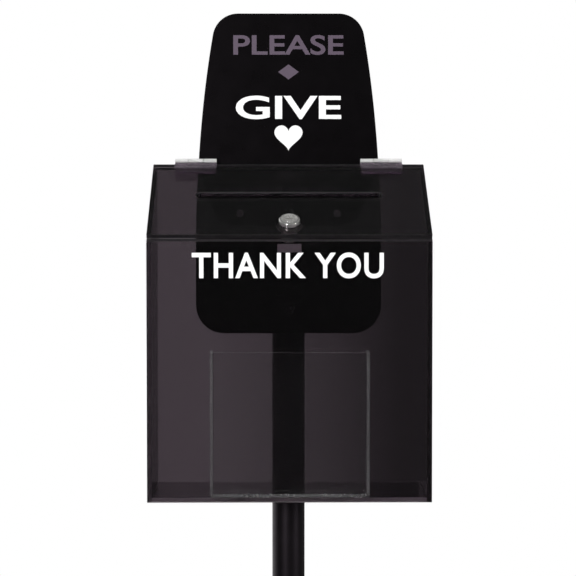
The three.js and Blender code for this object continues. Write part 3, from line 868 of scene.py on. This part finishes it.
def make_hinges():
    """The barrels share an axis behind and above the lid's top rear edge."""
    knuckle, end = HINGE_KNUCKLE / 2, HINGE_LENGTH / 2 - 0.1
    inner = [(-knuckle, knuckle)]
    outer = [(-end, -knuckle - GAP), (knuckle + GAP, end)]
    axis_z = LID_TOP + CASE_DEPTH * math.tan(SLOPE) + HINGE_ABOVE
    lid_y = LID_LENGTH + HINGE_BEHIND * math.cos(SLOPE) + HINGE_ABOVE * math.sin(SLOPE)
    lid_z = HINGE_ABOVE * math.cos(SLOPE) - HINGE_BEHIND * math.sin(SLOPE)
    finish = {"slot": "clear_acrylic", "edges": {"hinge_barrel": on_barrel}}
    for side, x in HINGES.items():
        axis = CASE @ shift(x, CASE_DEPTH + HINGE_BEHIND, axis_z)
        leaf = hinge_leaf(f"clear_case_leaf_{side}", GAP - HINGE_BEHIND, HINGE_REACH + HINGE_ABOVE, outer)
        place(leaf, axis @ TO_BACK, "stand", "clear_moulding", f"hinge_case_leaf_{side}", **finish)
        place(hinge_pin(f"hinge_rod_{side}"), axis, "stand", "plated_steel", f"hinge_pin_{side}")
        leaf = hinge_leaf(f"clear_lid_leaf_{side}", GAP - lid_z, HINGE_REACH + lid_y - LID_LENGTH, inner)
        lid_axis = LID @ shift(x, lid_y, lid_z) @ TURNED_ROUND
        place(leaf, lid_axis, "lid", "clear_moulding", f"hinge_lid_leaf_{side}", **finish)


# ---- Lid and lock ----
def flared(name, layers):
    """A solid through outlines of equal length at rising heights."""
    solid = bmesh.new()
    rings = [[solid.verts.new((x, y, height)) for x, y in outline] for outline, height in layers]
    for low, high in zip(rings, rings[1:]):
        for index, corner in enumerate(low):
            solid.faces.new((low[index - 1], corner, high[index], high[index - 1]))
    solid.faces.new(rings[0])
    solid.faces.new(rings[-1])
    mesh = bpy.data.meshes.new(name)
    solid.to_mesh(mesh)
    solid.free()
    return weld(new_piece(name, mesh))


def slot_outline(wider):
    """A round-ended slot. Its radii stay a hair under half its width, so that no points double."""
    half, end = SLOT_LENGTH / 2 + wider, SLOT_WIDTH / 2 + wider
    return rounded_rectangle(-half, SLOT_AT - end, half, SLOT_AT + end, [0.999 * end] * 4, 12)


def in_slot(face):
    return abs(face.center.y - SLOT_AT) < SLOT_WIDTH


def slot_bevel(face):
    return in_slot(face) and 0.3 < face.normal.z < 0.9


def slot_rear_wall(face):
    return in_slot(face) and face.normal.y < -0.9


def make_lid():
    """Its front edge is square to the sheet, and its rear edge is upright to clear the hinges."""
    half, front = CASE_WIDTH / 2, LID_SETBACK / math.cos(SLOPE)
    outline = rounded_rectangle(-half, front, half, LID_LENGTH, [0.4] * 4, 4)
    panel = sheet("lid_sheet", outline, SHEET, 0.3, [circle(LID_HOLE, 0, LOCK_AT)], -SHEET)
    for vertex in panel.data.vertices:
        if vertex.co.y > LID_LENGTH - 1:
            vertex.co.y += vertex.co.z * math.tan(SLOPE)
    above, below = 1, SHEET + 1
    slot, mouth = slot_outline(0), slot_outline(SLOT_BEVEL + above)
    panel = cut(panel, flared("tool", [(slot, -below), (slot, -SLOT_BEVEL), (mouth, above)]))
    edges = {
        "smoked_edge": frontward,
        # painted shade: the lid's rear edge is drawn as an opaque near-black face
        "painted_shade_edge": rearward,
        "slot_edge": slot_bevel,
        "smoked_acrylic": slot_rear_wall,
    }
    place(panel, LID, "lid", "smoked_lid", "lid_panel", slot="smoked_acrylic", edges=edges)


def on_rim(face):
    return face.center.xy.length > LOCK_HEAD - LOCK_ROUND - 0.1 and face.center.z > GAP


def lock_profile():
    """Up the barrel, over the rounded rim, across a shallow step and down into the bore."""
    round_inside = LOCK_HEAD - LOCK_ROUND
    return [
        (LOCK_BORE, LOCK_END), (LOCK_BARREL - 0.6, LOCK_END),
        *reversed(thread(LOCK_BARREL, COARSE_PITCH, -SHEET - GAP, LOCK_END + THREAD_LEAD)),
        (LOCK_BARREL, -SHEET), (LOCK_BARREL, GAP),
        (LOCK_HEAD - 0.2, GAP), (LOCK_HEAD, 0.6), (LOCK_HEAD, LOCK_RIM),
        *arc((round_inside, LOCK_RIM), LOCK_ROUND, 10, 80, 8),
        (round_inside - 0.2, LOCK_HEAD_HEIGHT - 0.3), (round_inside - 0.5, LOCK_HEAD_HEIGHT),
        (LOCK_BORE + 0.7, LOCK_HEAD_HEIGHT), (LOCK_BORE, LOCK_HEAD_HEIGHT - 0.7),
    ]


def make_lock():
    """A threaded housing with two flats, the ring nut under the lid, and what turns inside."""
    housing = turned("lock_shell", lock_profile(), ring=True, steps=96)
    outside = LOCK_HEAD + 1
    flats = []
    for low, high in ((-outside, -LOCK_FLATS), (LOCK_FLATS, outside)):
        flat = rounded_rectangle(low, -outside, high, outside, [0.1] * 4, 2)
        flats.append(sheet("tool", flat, 1 - LOCK_END, TOOL_EDGE, base=LOCK_END - 1))
    edges = {"lock_rim": on_rim}
    place(cut(housing, *flats), LOCK, "lid", "satin_chrome", "lock_housing", slot="chrome", edges=edges)
    nut = hex_nut("lock_ring_nut", LOCK_NUT_FLATS, LOCK_NUT_THICKNESS, LOCK_BARREL + GAP)
    under = LOCK @ shift(0, 0, -SHEET - GAP - LOCK_NUT_THICKNESS)
    place(nut, under, "lid", "plated_steel", "lock_nut")
    make_plug()
    make_cam()


def square_outline(half):
    return [(-half, -half), (half, -half), (half, half), (-half, half)]


def make_plug():
    """The turning core, with its keyway above and a tapped square tail below for the cam."""
    top, low = LOCK_HEAD_HEIGHT - GAP, CAM_TOP + GAP
    dish, dish_depth = 3.4, 0.25
    profile = [
        (0, low), (LOCK_PLUG, low), (LOCK_PLUG, top),
        (dish, top), (dish - 0.2, top - dish_depth), (0, top - dish_depth),
    ]
    core = turned("lock_core", softened(profile, 0.35, closed=False))
    tail_end = CAM_TOP - CAM_THICKNESS - 0.1
    tail = sheet("tool", square_outline(CAM_SQUARE), CAM_TOP + 1 - tail_end, 0.1, base=tail_end)
    tapping = rod(1.8, tail_end - 1, CAM_TOP + 6)
    keyway = rounded_rectangle(-3.7, -0.8, 3.7, 0.8, [0.3] * 4, 4)
    ward = rounded_rectangle(-1.6, -1.3, 1.0, 1.3, [0.4] * 4, 4)
    depth = 12
    slots = [sheet("tool", slot, depth + 1, TOOL_EDGE, base=top - depth) for slot in (keyway, ward)]
    core = cut(join(core, tail), *slots, tapping)
    place(core, LOCK, "lock_plug", "satin_chrome", "lock_plug", slot="chrome")


def make_cam():
    """An arm with a round end about the core and a blunt tip, and the screw that holds it."""
    half, under = CAM_WIDTH / 2, CAM_TOP - CAM_THICKNESS
    tip, round_end = 3, 0.99 * half
    outline = rounded_rectangle(-half, -half, CAM_LENGTH, half, [tip, tip, round_end, round_end], 16)
    arm = sheet("lock_cam_arm", outline, CAM_THICKNESS, 0.3, [square_outline(CAM_SQUARE + GAP)], under)
    place(arm, LOCK, "lock_plug", "black_steel", "lock_cam", slot="plated_steel")
    screw = cross_screw("lock_cam_screw", head=5, head_height=2.6, shank=1.5, length=8)
    seat = LOCK @ shift(0, 0, under - 2 * GAP) @ Matrix.Rotation(math.pi, 4, "X")
    place(screw, seat, "lock_plug", "plated_steel", "cam_screw")


# ---- Case and pocket ----
CUT_EDGE = 0.35
# How the edges that are cemented to the front panel look
JOINTS = {"left_side_panel": "cloudy_joint", "right_side_panel": "clear_joint", "bottom_panel": "seam"}


def wall(name, y0, y1, x0, x1):
    """A panel with its top edge bevelled to the slope of the lid, from its side profile."""
    top0, top1 = (CASE_FRONT + y * math.tan(SLOPE) for y in (y0, y1))
    profile = [(y0, 0), (y1, 0), (y1, top1), (y0, top0)]
    return moved(sheet(name, profile, x1 - x0, CUT_EDGE), TO_SIDE, at(x0, 0, 0))


def slab(name, low, high):
    """A cuboid sheet between two corners."""
    outline = [(low[0], low[1]), (high[0], low[1]), (high[0], high[1]), (low[0], high[1])]
    return sheet(name, outline, high[2] - low[2], CUT_EDGE, base=low[2])


def back_wall():
    """The rear panel with its holes for the screws and bolts."""
    half, face = CASE_WIDTH / 2, CASE_DEPTH - SHEET
    holes = [(CASE_SCREW_HOLE, x, BOLT_HEIGHTS["upper"]) for x in CASE_SCREWS.values()]
    holes += [(BOLT_HOLE, 0, z) for z in BOLT_HEIGHTS.values()]
    tools = [moved(rod(hole, face - 1, CASE_DEPTH + 1), TO_BACK, at(x, 0, z)) for hole, x, z in holes]
    return cut(wall("back_sheet", face, CASE_DEPTH, -half, half), *tools)


def make_case():
    """Front and rear panels across the whole width, with the sides and the bottom between them."""
    half, inside, rear = CASE_WIDTH / 2, SHEET + GAP, CASE_DEPTH - SHEET - GAP
    back, front = back_wall(), wall("front_sheet", 0, SHEET, -half, half)
    for panel, node in ((front, "front_panel"), (back, "back_panel")):
        place(panel, CASE, "stand", "smoked_acrylic", node, edges={"smoked_edge": across(1)})
    floor_low, floor_high = (-half + inside, inside, 0), (half - inside, rear, SHEET)
    between = [
        (wall("left_side_sheet", inside, rear, -half, SHEET - half), 0, "left_side_panel"),
        (wall("right_side_sheet", inside, rear, half - SHEET, half), 0, "right_side_panel"),
        (slab("bottom_sheet", floor_low, floor_high), 2, "bottom_panel"),
    ]
    for panel, axis, node in between:
        edges = {"smoked_edge": across(axis), JOINTS[node]: frontward}
        place(panel, CASE, "stand", "smoked_acrylic", node, edges=edges)


def make_pocket():
    """A clear front on two sides and a floor, open above, against the front panel."""
    half, bottom, top, thick = POCKET_WIDTH / 2, POCKET_LOW, POCKET_HIGH, POCKET_SHEET
    face = thick - POCKET_DEPTH
    front, rear, inner = face + GAP, -GAP, half - thick - GAP
    panels = [
        ("pocket_front", (-half, -POCKET_DEPTH, bottom), (half, face, top), 1),
        ("pocket_left_side", (-half, front, bottom), (thick - half, rear, top), 0),
        ("pocket_right_side", (half - thick, front, bottom), (half, rear, top), 0),
    ]
    for node, low, high, axis in panels:
        sheet_name = node.removesuffix("_side") + "_sheet"
        edges = {"clear_edge": across(axis), "pocket_seam": downward}
        place(slab(sheet_name, low, high), CASE, "stand", "clear_acrylic", node, edges=edges)
    floor = slab("pocket_floor_sheet", (-inner, front, bottom), (inner, rear, bottom + thick))
    place(floor, CASE, "stand", "clear_acrylic", "pocket_bottom", edges={"pocket_seam": frontward})


def make_catch():
    half, front = CATCH_WIDTH / 2, SHEET + GAP
    catch = slab("catch_bar", (-half, front, CATCH_LOW), (half, front + CATCH_DEPTH, CATCH_HIGH))
    place(catch, CASE, "stand", "frosted_block", "catch_block", slot="clear_acrylic")


# ---- Lettering ----
FILM = 0.1
FILM_EDGE = 0.02
FILM_SEAT = -FILM / 2 - 0.03  # the middle of a film that stands just clear of a front face


def lettering(name, text, width, height, weight, spacing=1.0):
    """A word as cut film, centred, with its capitals exactly as wide and as high as asked."""
    curve = bpy.data.curves.new(name, "FONT")
    curve.body = text
    curve.size = height
    curve.space_character = spacing
    curve.offset = weight
    curve.extrude = FILM / 2
    curve.resolution_u = 6
    piece = weld(baked(new_piece(name, curve)))
    low = Vector([min(v.co[i] for v in piece.data.vertices) for i in range(3)])
    high = Vector([max(v.co[i] for v in piece.data.vertices) for i in range(3)])
    size = high - low
    grow = Matrix.Diagonal((width / size.x, height / size.y, 1, 1))
    return moved(piece, grow @ Matrix.Translation(-(low + high) / 2))


def film(name, outline):
    return sheet(name, outline, FILM, FILM_EDGE, base=-FILM / 2)


def diamond_outline(width, height):
    return [(0, -height / 2), (width / 2, 0), (0, height / 2), (-width / 2, 0)]


def heart_outline(width, height, steps=48):
    """The classic heart curve, scaled to a width and a height."""
    curve = []
    for step in range(steps):
        a = 2 * math.pi * step / steps
        y = 13 * math.cos(a) - 5 * math.cos(2 * a) - 2 * math.cos(3 * a) - math.cos(4 * a)
        curve.append((math.sin(a) ** 3 / 2, y))
    low, high = min(y for _, y in curve), max(y for _, y in curve)
    return [(x * width, ((y - low) / (high - low) - 0.5) * height) for x, y in curve]


def make_lettering():
    """Words on the front panel, and two words, a diamond and a heart down the header."""
    front, header = FILM_SEAT, PLATE_FRONT + FILM_SEAT
    films = [
        (lettering("label_words", "THANK YOU", 191.8, 26, 0.5, 1.08), -1.7, front, 238, "white_vinyl"),
        (lettering("header_words_upper", "PLEASE", 117, 21, 0.35), 0, header, 468, "mauve_vinyl"),
        (film("header_diamond", diamond_outline(22, 16)), 0, header, 439.5, "mauve_vinyl"),
        (lettering("header_words_lower", "GIVE", 112, 25, 0.5), 0, header, 402, "white_vinyl"),
        (film("header_heart", heart_outline(30, 27)), 0, header, 369.5, "white_vinyl"),
    ]
    for piece, x, y, z, finish in films:
        place(piece, CASE @ shift(x, y, z) @ TO_FRONT, "stand", finish)
        piece.visible_glossy = False


# ---- Studio ----
FLOOR_RADIUS = 2.5
FLOOR_DROP = 0.0005  # keeps the floor just under the feet
FLOOR_FADE = {"From Min": 0.7, "From Max": 2.3}


def make_floor():
    """A pale disc that brightens to the white of the backdrop towards its rim."""
    tree = material("studio_floor")
    where = tree.add("TexCoord", out="Object")
    distance = tree.add("VectorMath", {0: where}, out="Value", operation="LENGTH")
    share = tree.add("MapRange", {"Value": distance, **FLOOR_FADE}, interpolation_type="SMOOTHSTEP")
    pale = tree.add("BsdfDiffuse", {"Color": colour(0.86, 0.86, 0.86)})
    white = tree.add("Emission", {"Color": colour(1, 1, 1), "Strength": 1.0})
    tree.output("OutputMaterial", {"Surface": tree.add("MixShader", {0: share, 1: pale, 2: white})})
    mesh = bpy.data.meshes.new("studio_floor")
    disc = bmesh.new()
    bmesh.ops.create_circle(disc, cap_ends=True, radius=FLOOR_RADIUS, segments=96)
    disc.to_mesh(mesh)
    disc.free()
    mesh.materials.append(MATERIALS["studio_floor"])
    floor = new_piece("studio_floor", mesh)
    floor.location.z = -FLOOR_DROP
    floor.visible_glossy = False


def make_world():
    """White for the camera. For other rays a room that is bright behind the object and dims to its
    right, dark in front of it and overhead, and an even soft fill once a matt face scattered them.
    """
    world = bpy.data.worlds.new("studio")
    bpy.context.scene.world = world
    world.use_nodes = True
    tree = Tree(world.node_tree)
    direction = tree.add("TexCoord", out="Generated")
    x, y, z = (tree.add("SeparateXYZ", {0: direction}, out=axis) for axis in range(3))
    camera = tree.add("LightPath", out="Is Camera Ray")
    scattered = tree.add("LightPath", out="Diffuse Depth")
    bounced = tree.add("LightPath", out="Glossy Depth")
    passed = tree.add("LightPath", out="Transmission Depth")

    room = tree.remap(z, 0.1, 0.3, 0.02, 0.05)
    backdrop = tree.remap(x, -0.035, 0.066, 1.0, 0.18)
    # Rays that only passed through sheets: the backdrop, bright again far to the right
    around = tree.math("MAXIMUM", backdrop, tree.remap(x, 0.2, 0.6, 0.0, 1.0))
    straight = tree.mix(tree.remap(y, -0.93, -0.85, 0.0, 1.0), room, around)
    # Mirrored rays: the backdrop low down, higher up, and off to both sides
    low = tree.remap(x, -0.02, 0.02, 0.25, 0.58)
    near = tree.mix(tree.remap(z, 0.0, 0.05, 0.0, 1.0), low, tree.math("MULTIPLY", backdrop, 0.8))
    beside = tree.remap(x, -0.1, 0.1, 0.8, 0.1)
    behind = tree.mix(tree.remap(tree.math("ABSOLUTE", x), 0.1, 0.14, 0.0, 1.0), near, beside)
    mirrored = tree.mix(tree.remap(y, -0.1, 0.5, 0.0, 1.0), room, behind)

    seen = tree.mix(tree.math("MINIMUM", bounced, 1.0), straight, mirrored)
    under_ceiling = tree.mix(tree.remap(z, 0.5, 0.8, 0.0, 1.0), seen, 0.03)
    through_sheets = tree.remap(passed, 0.0, 4.0, 1.0, 3.2)
    fill = tree.math("MULTIPLY", tree.remap(z, -1.0, 1.0, 0.72, 0.98), through_sheets)
    lit = tree.mix(tree.math("MINIMUM", scattered, 1.0), under_ceiling, fill)
    background = tree.add("Background", {"Color": tree.mix(camera, lit, 1.0), "Strength": 1.0})
    tree.output("OutputWorld", {"Surface": background})


LAMP_TARGET = Vector((0, case_low.y, case_low.z + 0.2))


def make_lamp(name, offset, size, power):
    """A softbox that looks at the upper part of the case."""
    data = bpy.data.lights.new(name, "AREA")
    data.shape = "RECTANGLE"
    data.size, data.size_y = size
    data.energy = power
    lamp = bpy.data.objects.new(name, data)
    lamp.visible_camera = False
    bpy.context.scene.collection.objects.link(lamp)
    lamp.location = LAMP_TARGET + Vector(offset)
    lamp.rotation_euler = (LAMP_TARGET - lamp.location).to_track_quat("-Z", "Y").to_euler()
    return lamp


def make_studio():
    scene = bpy.context.scene
    scene.view_settings.view_transform = "Standard"
    make_floor()
    make_world()
    make_lamp("lamp_left", offset=(-0.97, -2.08, 0.2), size=(0.3, 0.4), power=13.0)
    make_lamp("lamp_right", offset=(1.95, -1.22, 0.2), size=(0.3, 0.4), power=11.0)
    overhead = make_lamp("softbox_top", offset=(0, -0.25, 1.5), size=(0.6, 0.3), power=12.0)
    overhead.visible_glossy = False


make_camera()
make_studio()
make_base()
make_flange()
make_post()
make_header()
make_case_screws()
make_post_bolts()
make_hinges()
make_case()
make_pocket()
make_catch()
make_lid()
make_lock()
make_lettering()
